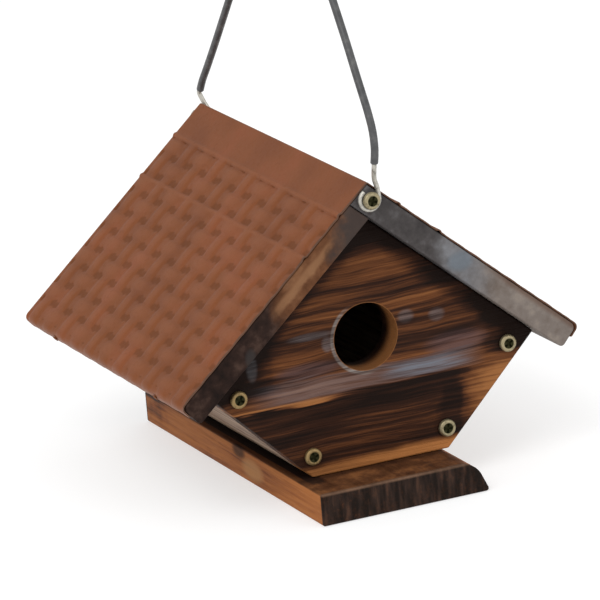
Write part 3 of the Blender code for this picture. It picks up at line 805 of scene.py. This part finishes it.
@dataclass
class EmbossedCover:
    """The folded metal sheet with its woven pressing."""

    plain_strip: float = 0.0190
    strand_pitch_y: float = 0.0171
    strand_pitch_s: float = 0.01115
    upright_half: float = 0.0052
    level_half: float = 0.0048
    rise: float = 0.0012
    thickness: float = 0.0006
    bend: float = 0.0028
    lip: float = 0.0062
    first_upright: float = 0.0095
    second_bead: float = 0.0450
    step_y: float = 0.00122
    step_s: float = 0.00101
    levels: int = 14

    def _strand(self, offset: float, half: float) -> float:
        """Return a strand's rounded section, 1 on its middle line and 0 past its edge."""
        share = min(1.0, abs(offset) / half)
        return 1.0 - share**3

    def height(self, along: float, down: float) -> float:
        """Return the pressing's height at a place, from 0 in a hollow to 1 on a crest.

        Args:
            along: Distance behind the roof's front end.
            down: Distance down the slope from the ridge.

        Returns:
            The height, as a share of the rise.
        """
        if down < self.plain_strip:
            return 0.45
        start = down - self.plain_strip - 0.0012
        if start < 0.0 or abs(down - self.second_bead) < 0.0008:
            return 0.95
        if along < 0.0012 or ROOF_BACK - ROOF_FRONT - along < 0.0012:
            return 0.45
        column = round((along - self.first_upright) / self.strand_pitch_y)
        row = round((start - 0.0050) / self.strand_pitch_s)
        off_column = along - self.first_upright - column * self.strand_pitch_y
        off_row = start - 0.0050 - row * self.strand_pitch_s
        parity = 1.0 if (column + row) % 2 == 0 else -1.0
        level_height = 0.62 + 0.38 * parity * math.cos(math.pi * off_column / self.strand_pitch_y)
        upright_height = 0.62 - 0.38 * parity * math.cos(math.pi * off_row / self.strand_pitch_s)
        waist = 1.0 - 0.55 * (off_column / self.strand_pitch_y) ** 2 * (1.0 + parity)
        level = self._strand(off_row, self.level_half * waist) * level_height
        upright = self._strand(off_column, self.upright_half) * upright_height
        return max(0.0, level, upright)

    def _slope_sheet(self) -> bpy.types.Object:
        """Return the right slope as a fine grid with its pressing, ridge edge on the middle plane."""
        length = SLOPE_LENGTH - self.bend
        depth = ROOF_BACK - ROOF_FRONT
        side = Side.RIGHT
        middle = Vector((0.0, (ROOF_FRONT + ROOF_BACK) / 2, RIDGE)) + down_slope(side) * length / 2
        cells_s = round(length / self.step_s)
        cells_y = round(depth / self.step_y)
        sheet = new_primitive(
            "roof_cover_embossed",
            bpy.ops.mesh.primitive_grid_add,
            x_subdivisions=cells_s,
            y_subdivisions=cells_y,
            size=1.0,
            location=middle,
            rotation=(0.0, PITCH, 0.0),
        )
        sheet.scale = (length, depth, 1.0)
        settle(sheet)
        self._press(sheet)
        return sheet

    def _press(self, sheet: bpy.types.Object) -> None:
        """Raise the strands out of the flat sheet, one level after another."""
        out = out_of_slope(Side.RIGHT)
        down = down_slope(Side.RIGHT)
        base = Vector((0.0, 0.0, RIDGE))
        steps = []
        for vertex in sheet.data.vertices:
            share = self.height(vertex.co.y - ROOF_FRONT, (vertex.co - base).dot(down))
            steps.append(round((share - 0.45) / 0.55 * self.levels))
        for level in sorted(set(steps) - {0}):
            select_where(sheet, "VERT", lambda vertex, wanted=level: steps[vertex.index] == wanted)
            move = out * (self.rise * 0.55 * level / self.levels)
            bpy.ops.transform.translate(value=move)
            bpy.ops.object.mode_set(mode="OBJECT")

    def _fold_eave(self, sheet: bpy.types.Object) -> None:
        """Extrude the eave edge round a bend and down into a lip."""
        down = down_slope(Side.RIGHT)
        out = out_of_slope(Side.RIGHT)
        base = Vector((0.0, 0.0, RIDGE))
        end = SLOPE_LENGTH - self.bend

        def at_end(edge: bpy.types.MeshEdge) -> bool:
            """Say whether both ends of an edge lie on the sheet's lower end."""
            return all((sheet.data.vertices[index].co - base).dot(down) > end - 0.0001 for index in edge.vertices)

        select_where(sheet, "EDGE", at_end)
        turns = 6
        before = Vector((0.0, 0.0, 0.0))
        for step in range(1, turns + 1):
            angle = math.pi / 2 * step / turns
            here = down * (self.bend * math.sin(angle)) - out * (self.bend * (1.0 - math.cos(angle)))
            bpy.ops.mesh.extrude_edges_move(TRANSFORM_OT_translate={"value": here - before})
            before = here
        for _ in range(3):
            bpy.ops.mesh.extrude_edges_move(TRANSFORM_OT_translate={"value": -out * ((self.lip - self.bend) / 3)})
        bpy.ops.object.mode_set(mode="OBJECT")

    def build(self, finishes: Finishes) -> bpy.types.Object:
        """Make the cover.

        Args:
            finishes: The materials.

        Returns:
            The piece.
        """
        sheet = self._slope_sheet()
        self._fold_eave(sheet)
        select_where(sheet, "VERT", lambda vertex: abs(vertex.co.x) < 0.0004)
        bpy.ops.transform.resize(value=(0.0, 1.0, 1.0), center_override=(0.0, 0.0, RIDGE))
        bpy.ops.object.mode_set(mode="OBJECT")
        apply_modifier(sheet, "MIRROR", use_axis=(True, False, False), use_mirror_merge=True, merge_threshold=0.0003)
        bevel_edges(
            sheet,
            lambda edge: abs(edge_middle(sheet.data, edge).x) < 0.0001 and abs(edge_way(sheet.data, edge).y) > 0.9,
            0.0007,
            2,
        )
        activate(sheet)
        bpy.ops.object.mode_set(mode="EDIT")
        bpy.ops.mesh.select_all(action="SELECT")
        bpy.ops.mesh.normals_make_consistent(inside=False)
        bpy.ops.object.mode_set(mode="OBJECT")
        upward = sum(face.normal.z for face in sheet.data.polygons)
        if upward < 0:
            bpy.ops.object.mode_set(mode="EDIT")
            bpy.ops.mesh.flip_normals()
            bpy.ops.object.mode_set(mode="OBJECT")
        apply_modifier(sheet, "SOLIDIFY", thickness=self.thickness, offset=-1.0, use_even_offset=False)
        self._remember_heights(sheet)
        shade(sheet, 50.0)
        dress(sheet, finishes.roof)
        hand_over(sheet, "house", "roof_metal", "roof_cover")
        return sheet

    def _remember_heights(self, sheet: bpy.types.Object) -> None:
        """Store how far each point is raised, for the painted shade in the hollows and the painted highlight on the
        crests.
        """
        base = Vector((0.0, 0.0, RIDGE))
        values = []
        for vertex in sheet.data.vertices:
            side = Side.RIGHT if vertex.co.x >= 0 else Side.LEFT
            down = (vertex.co - base).dot(down_slope(side))
            flat = down > SLOPE_LENGTH - self.bend * 1.2
            values.append(0.45 if flat else self.height(vertex.co.y - ROOF_FRONT, down))
        store(sheet, "raised", values)


@dataclass
class RoofBoards:
    """The two boards under the cover, with rounded eaves and a lap at the ridge."""

    thickness: float = 0.012
    top_depth: float = 0.0009
    end_gap: float = 0.0009
    eave_round: float = 0.0030
    under_round: float = 0.0020
    edge_round: float = 0.0008
    gap: float = 0.0003

    def _board(self, side: Side) -> bpy.types.Object:
        """Return one board as a block that lies on its slope."""
        reach = SLOPE_LENGTH - self.end_gap
        extra = 0.030
        length = reach + extra
        depth = ROOF_BACK - ROOF_FRONT
        centre = (
            Vector((0.0, (ROOF_FRONT + ROOF_BACK) / 2, RIDGE))
            + down_slope(side) * (reach - length / 2)
            - out_of_slope(side) * (self.top_depth + self.thickness / 2)
        )
        board = new_primitive(
            f"{side.name.lower()}_roof_plank",
            bpy.ops.mesh.primitive_cube_add,
            size=1.0,
            location=centre,
            rotation=(0.0, side.value * PITCH, 0.0),
        )
        board.scale = (length, depth, self.thickness)
        settle(board)
        return board

    def _trim(self, board: bpy.types.Object, side: Side) -> None:
        """Saw the ridge end: the right board laps over, and the left one butts against it."""
        other = Side.LEFT if side is Side.RIGHT else Side.RIGHT
        depth = self.top_depth if side is Side.RIGHT else self.top_depth + self.thickness + self.gap
        out = out_of_slope(other)
        place = Vector((0.0, 0.0, RIDGE)) - out * depth
        activate(board)
        bpy.ops.object.mode_set(mode="EDIT")
        bpy.ops.mesh.select_all(action="SELECT")
        bpy.ops.mesh.bisect(plane_co=place, plane_no=out, use_fill=True, clear_outer=True)
        bpy.ops.object.mode_set(mode="OBJECT")

    def _soften(self, board: bpy.types.Object, side: Side) -> None:
        """Round the eave and break the other edges."""
        base = Vector((0.0, 0.0, RIDGE))
        down = down_slope(side)
        out = out_of_slope(side)
        mesh = board.data

        def fallen(edge: bpy.types.MeshEdge) -> float:
            """Return how far down the slope an edge lies."""
            return (edge_middle(mesh, edge) - base).dot(down)

        def at_eave(edge: bpy.types.MeshEdge) -> bool:
            """Say whether an edge runs along the eave."""
            return fallen(edge) > SLOPE_LENGTH - 0.002 and abs(edge_way(mesh, edge).y) > 0.9

        def is_top(edge: bpy.types.MeshEdge) -> bool:
            """Say whether an edge lies on the board's top."""
            return (edge_middle(mesh, edge) - base).dot(out) > -self.top_depth - self.thickness / 2

        bevel_edges(board, lambda edge: at_eave(edge) and is_top(edge), self.eave_round, 6)
        bevel_edges(
            board,
            lambda edge: not is_top(edge) and fallen(edge) > SLOPE_LENGTH - 0.0016 and abs(edge_way(mesh, edge).y) > 0.9,
            self.under_round,
            5,
        )
        bevel_edges(
            board,
            lambda edge: abs(edge_way(mesh, edge).y) < 0.1
            and min(abs(edge_middle(mesh, edge).y - ROOF_FRONT), abs(edge_middle(mesh, edge).y - ROOF_BACK)) < 0.0001,
            self.edge_round,
            3,
        )

    def build(self, finishes: Finishes) -> list[bpy.types.Object]:
        """Make both boards and return them."""
        made = []
        for side, material in ((Side.LEFT, finishes.left_board), (Side.RIGHT, finishes.right_board)):
            board = self._board(side)
            self._trim(board, side)
            self._soften(board, side)
            shade(board, 35.0)
            dress(board, material)
            hand_over(board, "house", "weathered_wood", f"{side.name.lower()}_roof_board")
            made.append(board)
        return made


# ---------------------------------------------------------------- hanger


@dataclass
class Hanger:
    """The wire over the roof: a sleeve with a bare eye at each end."""

    wire: float = 0.0023
    sleeve: float = 0.0036
    eye: float = 0.0046
    aside: float = 0.0012
    gap: float = 0.0003
    front_leg: tuple[tuple[float, float], ...] = (
        (-0.0073, 0.0183),
        (-0.0090, 0.0247),
        (-0.0084, 0.0331),
        (-0.0048, 0.0415),
        (0.0000, 0.0495),
        (0.0050, 0.0577),
        (0.0160, 0.0760),
        (0.0310, 0.0975),
        (0.0490, 0.1135),
        (0.0700, 0.1195),
    )
    back_leg: tuple[tuple[float, float], ...] = (
        (0.0960, 0.1150),
        (0.0740, 0.0995),
        (0.0560, 0.0805),
        (0.0385, 0.0605),
        (0.0220, 0.0415),
        (0.0090, 0.0270),
        (0.0020, 0.0195),
        (-0.0020, 0.0140),
    )

    def _path(self, route: Sequence[Vector], spacing: float) -> list[Vector]:
        """Return points about spacing apart on one smooth curve through a route."""
        points = [2 * route[0] - route[1], *route, 2 * route[-1] - route[-2]]
        path = []
        for before, start, end, after in zip(points, points[1:], points[2:], points[3:]):
            steps = max(1, round((end - start).length / spacing))
            for step in range(steps):
                t = step / steps
                path.append(
                    0.5 * (
                        2 * start
                        + (end - before) * t
                        + (2 * before - 5 * start + 4 * end - after) * t**2
                        + (3 * start - before - 3 * end + after) * t**3
                    )
                )
        path.append(route[-1])
        return path

    def _tube(self, name: str, path: Sequence[Vector], diameter: float) -> bpy.types.Object:
        """Return a round curve tube along a path that starts at the pivot's axis."""
        curve = bpy.data.curves.new(name, "CURVE")
        curve.dimensions = "3D"
        curve.bevel_depth = diameter / 2
        curve.bevel_resolution = 5
        curve.use_fill_caps = True
        spline = curve.splines.new("POLY")
        spline.points.add(len(path) - 1)
        for point, place in zip(spline.points, path):
            point.co = (place.x, place.y, place.z + PIVOT.z, 1.0)
        tube = bpy.data.objects.new(name, curve)
        bpy.context.scene.collection.objects.link(tube)
        return tube

    def _eye_path(self, roof_end: float, facing: float, end: Vector, following: Vector) -> list[Vector]:
        """Return a wire end's path: once round its screw, then up to the sleeve."""
        ring_y = roof_end + facing * (self.gap + self.wire / 2)
        route = []
        for degrees in range(122, 361, 17):
            angle = math.radians(degrees)
            route.append(Vector((self.eye * math.cos(angle), ring_y, self.eye * math.sin(angle))))
        away = (end - following).normalized()
        wire_end = end + self.gap * away
        straight_end = wire_end + self.wire * away
        climb, lean = straight_end.z, straight_end.y - ring_y
        route.append(Vector((0.90 * self.eye, ring_y, 0.32 * climb)))
        route.append(Vector((0.55 * self.eye, ring_y + 0.25 * lean, 0.62 * climb)))
        route.append(straight_end)
        route.append(wire_end)
        return self._path(route, 0.0009)

    def build(self, finishes: Finishes) -> list[bpy.types.Object]:
        """Make the sleeve and both eyes.

        Args:
            finishes: The materials.

        Returns:
            The three pieces.
        """
        front = [Vector((self.aside, ROOF_FRONT + behind, up)) for behind, up in self.front_leg]
        back = [Vector((self.aside, ROOF_BACK - ahead, up)) for ahead, up in self.back_leg]
        route = front + back
        path = self._path(route, 0.0032)
        length = sum((after - before).length for before, after in zip(path, path[1:]))
        sleeve = self._tube("sleeve", path, self.sleeve)
        eyes = []
        for name, roof_end, facing, end, following in (
            ("front", ROOF_FRONT, -1.0, route[0], route[1]),
            ("back", ROOF_BACK, 1.0, route[-1], route[-2]),
        ):
            eye = self._tube(f"wire_eye_{name}", self._eye_path(roof_end, facing, end, following), self.wire)
            dress(eye, finishes.wire)
            hand_over(eye, "hanger", "wire_metal", f"hanger_eye_{name}")
            eyes.append(eye)
        dress(sleeve, finishes.sleeve)
        hand_over(sleeve, "hanger", "sleeve_plastic", "hanger_sleeve")
        start = path[0] + Vector((0.0, 0.0, PIVOT.z))
        return [sleeve, *eyes]


# ---------------------------------------------------------------- base and screws


@dataclass
class BaseBoard:
    """The floor board, its right side worn round and its ends broken."""

    slant: float = 0.0068
    right_round: float = 0.0070
    foot_round: float = 0.0022
    left_round: float = 0.0009
    end_round: float = 0.0010

    def build(self, finishes: Finishes) -> bpy.types.Object:
        """Make the board.

        Args:
            finishes: The materials.

        Returns:
            The piece.
        """
        low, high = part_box("base_board")
        board = new_primitive("base_plank", bpy.ops.mesh.primitive_cube_add, size=1.0, location=(low + high) / 2)
        board.scale = high - low
        settle(board)
        mesh = board.data
        select_where(board, "VERT", lambda vertex: vertex.co.x > 0.0 and vertex.co.z > high.z - 0.001)
        bpy.ops.transform.translate(value=(-self.slant, 0.0, 0.0))
        bpy.ops.object.mode_set(mode="OBJECT")

        def runs_back(edge: bpy.types.MeshEdge) -> bool:
            """Say whether an edge runs from front to back."""
            return abs(edge_way(mesh, edge).y) > 0.9

        def place(edge: bpy.types.MeshEdge) -> Vector:
            """Return an edge's middle."""
            return edge_middle(mesh, edge)

        def at_end(edge: bpy.types.MeshEdge) -> bool:
            """Say whether an edge lies on the board's front or back end."""
            return min(abs(place(edge).y - low.y), abs(place(edge).y - high.y)) < 0.0001

        bevel_edges(
            board,
            lambda edge: runs_back(edge) and place(edge).x > 0.02 and place(edge).z > 0.008,
            self.right_round,
            8,
        )
        bevel_edges(board, lambda edge: runs_back(edge) and place(edge).x > high.x - 0.0001, self.foot_round, 5)
        bevel_edges(board, lambda edge: runs_back(edge) and place(edge).x < low.x + 0.0001, self.left_round, 3)
        bevel_edges(
            board,
            lambda edge: not runs_back(edge) and at_end(edge),
            self.end_round,
            3,
        )
        shade(board, 35.0)
        dress(board, finishes.base)
        hand_over(board, "house", "orange_wood", "base_board")
        return board


@dataclass
class Screws:
    """Round-headed screws with a cross recess, modelled once for each length."""

    head_radius: float = 0.0041
    head_height: float = 0.0019
    shank_radius: float = 0.0019
    dish_radius: float = 0.0026
    dish_depth: float = 0.0002
    arm_width: float = 0.0012
    arm_reach: float = 0.0046
    recess_depth: float = 0.0014

    def _model(self, name: str, length: float) -> bpy.types.Object:
        """Return a screw that points up +Z, the underside of its head at the origin.

        Args:
            name: Its name.
            length: Its length under the head.

        Returns:
            The object.
        """
        screw = new_primitive(
            name,
            bpy.ops.mesh.primitive_cylinder_add,
            vertices=40,
            radius=self.head_radius,
            depth=self.head_height,
            location=(0.0, 0.0, self.head_height / 2),
        )
        settle(screw)
        mesh = screw.data
        bevel_edges(screw, lambda edge: edge_middle(mesh, edge).z > self.head_height - 0.0001, 0.0011, 5)
        select_where(screw, "FACE", lambda face: face.normal.z > 0.99 and face.center.z > self.head_height - 0.0001)
        bpy.ops.mesh.inset(thickness=self.head_radius - 0.0011 - self.dish_radius, depth=0.0)
        bpy.ops.mesh.inset(thickness=0.0003, depth=-self.dish_depth)
        bpy.ops.object.mode_set(mode="OBJECT")
        select_where(screw, "FACE", lambda face: face.normal.z < -0.99)
        bpy.ops.mesh.inset(thickness=self.head_radius - self.shank_radius, depth=0.0)
        bpy.ops.mesh.extrude_region_move(TRANSFORM_OT_translate={"value": (0.0, 0.0, -(length - 0.004))})
        bpy.ops.mesh.extrude_region_move(TRANSFORM_OT_translate={"value": (0.0, 0.0, -0.004)})
        bpy.ops.transform.resize(value=(0.2, 0.2, 1.0), center_override=(0.0, 0.0, -length))
        bpy.ops.object.mode_set(mode="OBJECT")
        for turn in (0.0, math.pi / 2):
            arm = new_primitive(
                "recess_arm",
                bpy.ops.mesh.primitive_cube_add,
                size=1.0,
                location=(0.0, 0.0, self.head_height),
                rotation=(0.0, 0.0, turn),
            )
            arm.scale = (self.arm_reach, self.arm_width, 2 * self.recess_depth)
            settle(arm)
            apply_modifier(screw, "BOOLEAN", operation="DIFFERENCE", solver="EXACT", object=arm)
            bpy.data.objects.remove(arm, do_unlink=True)
        # Mark the floor of the dish and the recess, where the plating paints shade.
        floor = self.head_height - self.dish_depth
        values = []
        for vertex in mesh.vertices:
            near = math.hypot(vertex.co.x, vertex.co.y) < self.dish_radius
            values.append(1.0 if near and vertex.co.z < floor + 0.0001 and vertex.co.z > 0.0001 else 0.0)
        store(screw, "recess_shade", values)
        return screw

    def _drive(
        self, model: bpy.types.Object, node: str, turn: float, material: bpy.types.Material
    ) -> bpy.types.Object:
        """Copy a model into a CAD screw's place.

        Args:
            model: The screw that points up.
            node: The CAD node that it stands for.
            turn: How far it is turned on its axis.
            material: Its plating.

        Returns:
            The piece.
        """
        low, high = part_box(node)
        front = "front" in node
        head_top = low.y if front else high.y
        underside = head_top + (self.head_height if front else -self.head_height)
        centre = Vector(((low.x + high.x) / 2, underside, (low.z + high.z) / 2))
        outward = Vector((0.0, -1.0 if front else 1.0, 0.0))
        piece = bpy.data.objects.new(f"{node}_driven", model.data.copy())
        bpy.context.scene.collection.objects.link(piece)
        spin = outward.to_track_quat("Z", "Y").to_matrix().to_4x4() @ Matrix.Rotation(turn, 4, "Z")
        piece.data.transform(Matrix.Translation(centre) @ spin)
        shade(piece, 35.0)
        dress(piece, material)
        hand_over(piece, "house", "screw_metal", node)
        return piece

    def build(self, finishes: Finishes) -> None:
        """Make every screw whose head shows on the front or the back."""
        names = [name for name in frame["nodes"] if name.startswith(("front_screw", "back_screw", "ridge_screw"))]
        models: dict[int, bpy.types.Object] = {}
        for index, name in enumerate(sorted(names)):
            low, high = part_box(name)
            length = high.y - low.y - self.head_height
            key = round(length * 10000)
            if key not in models:
                models[key] = self._model(f"screw_model_{key}", length)
            plating = finishes.aged_screw if name.startswith("front_screw") and "left" in name else finishes.screw
            self._drive(models[key], name, 0.5 + 1.13 * index, plating)
        for model in models.values():
            bpy.data.objects.remove(model, do_unlink=True)


# ---------------------------------------------------------------- carried-over boards and fasteners


class CadDress:
    """Gives the CAD nodes that stay their finishes."""

    def __init__(self, finishes: Finishes) -> None:
        """Pair each node's name with a material."""
        self.by_prefix = {
            "front_panel": finishes.front,
            "back_panel": finishes.back,
            "left_wall": finishes.wall,
            "right_wall": finishes.wall,
            "base_board": finishes.base,
            "front_screw": finishes.screw,
            "back_screw": finishes.screw,
            "base_screw": finishes.screw,
            "ridge_screw": finishes.screw,
            "roof_nail": finishes.nail,
            "cover_tack": finishes.roof,
        }

    def build(self) -> None:
        """Dress every CAD node that is still shown."""
        for name, node in frame["nodes"].items():
            if node.hide_render:
                continue
            for prefix, material in self.by_prefix.items():
                if name.startswith(prefix):
                    dress(node, material)


# ---------------------------------------------------------------- studio


@dataclass
class Studio:
    """Pale floor, soft lights and the camera."""

    target: Vector = Vector((-0.00785, -0.0165, 0.0810))
    distance: float = 2.92089
    azimuth: float = math.radians(23.05)
    elevation: float = math.radians(15.96)
    roll: float = math.radians(-5.0)
    lens: float = 378.55

    def _camera(self) -> None:
        """Make the camera and aim it."""
        data = bpy.data.cameras.new("studio_camera")
        data.lens = self.lens
        data.sensor_width = 36.0
        data.clip_start = 0.1
        data.clip_end = 60.0
        camera = bpy.data.objects.new("studio_camera", data)
        bpy.context.scene.collection.objects.link(camera)
        back = Vector(
            (
                -math.sin(self.azimuth) * math.cos(self.elevation),
                -math.cos(self.azimuth) * math.cos(self.elevation),
                math.sin(self.elevation),
            )
        )
        level = Vector((math.cos(self.azimuth), -math.sin(self.azimuth), 0.0))
        rise = back.cross(level)
        across = level * math.cos(self.roll) + rise * math.sin(self.roll)
        up = -level * math.sin(self.roll) + rise * math.cos(self.roll)
        turn = Matrix((across, up, back)).transposed().to_4x4()
        camera.matrix_world = Matrix.Translation(self.target + back * self.distance) @ turn
        bpy.context.scene.camera = camera

    def _floor(self) -> None:
        """Make the pale floor."""
        floor = new_primitive(
            "studio_floor", bpy.ops.mesh.primitive_plane_add, size=60.0, location=(0.0, 0.0, -0.0002)
        )
        make = Shader("floor_paper")
        fleck = make.noise(make.place(), 0.004, 2.0)
        tone = make.ramp(fleck, [(0.3, (0.50, 0.50, 0.50)), (0.7, (0.52, 0.52, 0.52))])
        make.surface.inputs["Emission Color"].default_value = (1.0, 1.0, 1.0, 1.0)
        make.surface.inputs["Emission Strength"].default_value = 0.55
        dress(floor, make.dress(Base_Color=tone, Roughness=0.9))

    def _area(self, name: str, place: Vector, size: float, power: float) -> None:
        """Make one soft light that looks at the house."""
        data = bpy.data.lights.new(name, "AREA")
        data.size = size
        data.energy = power
        light = bpy.data.objects.new(name, data)
        light.location = place
        light.rotation_mode = "QUATERNION"
        light.rotation_quaternion = (self.target - place).to_track_quat("-Z", "Y")
        bpy.context.scene.collection.objects.link(light)

    def build(self) -> None:
        """Make the world, the lights, the floor and the camera."""
        world = bpy.data.worlds.new("studio")
        world.use_nodes = True
        world.node_tree.nodes["Background"].inputs[0].default_value = (1.0, 1.0, 1.0, 1.0)
        world.node_tree.nodes["Background"].inputs[1].default_value = 0.78
        bpy.context.scene.world = world
        self._area("key", Vector((-2.0, -1.6, 2.6)), 2.0, 50.0)
        self._area("fill", Vector((1.8, -2.6, 1.2)), 2.0, 22.0)
        self._floor()
        self._camera()
        bpy.context.scene.view_settings.view_transform = "Standard"


def main() -> None:
    """Build the scene."""
    logging.basicConfig(level=logging.INFO, format="%(name)s: %(message)s", stream=sys.stdout)
    Studio().build()
    finishes = Finishes()
    Hanger().build(finishes)
    EmbossedCover().build(finishes)
    RoofBoards().build(finishes)
    BaseBoard().build(finishes)
    Screws().build(finishes)
    CadDress(finishes).build()


if __name__ == "__main__":
    main()
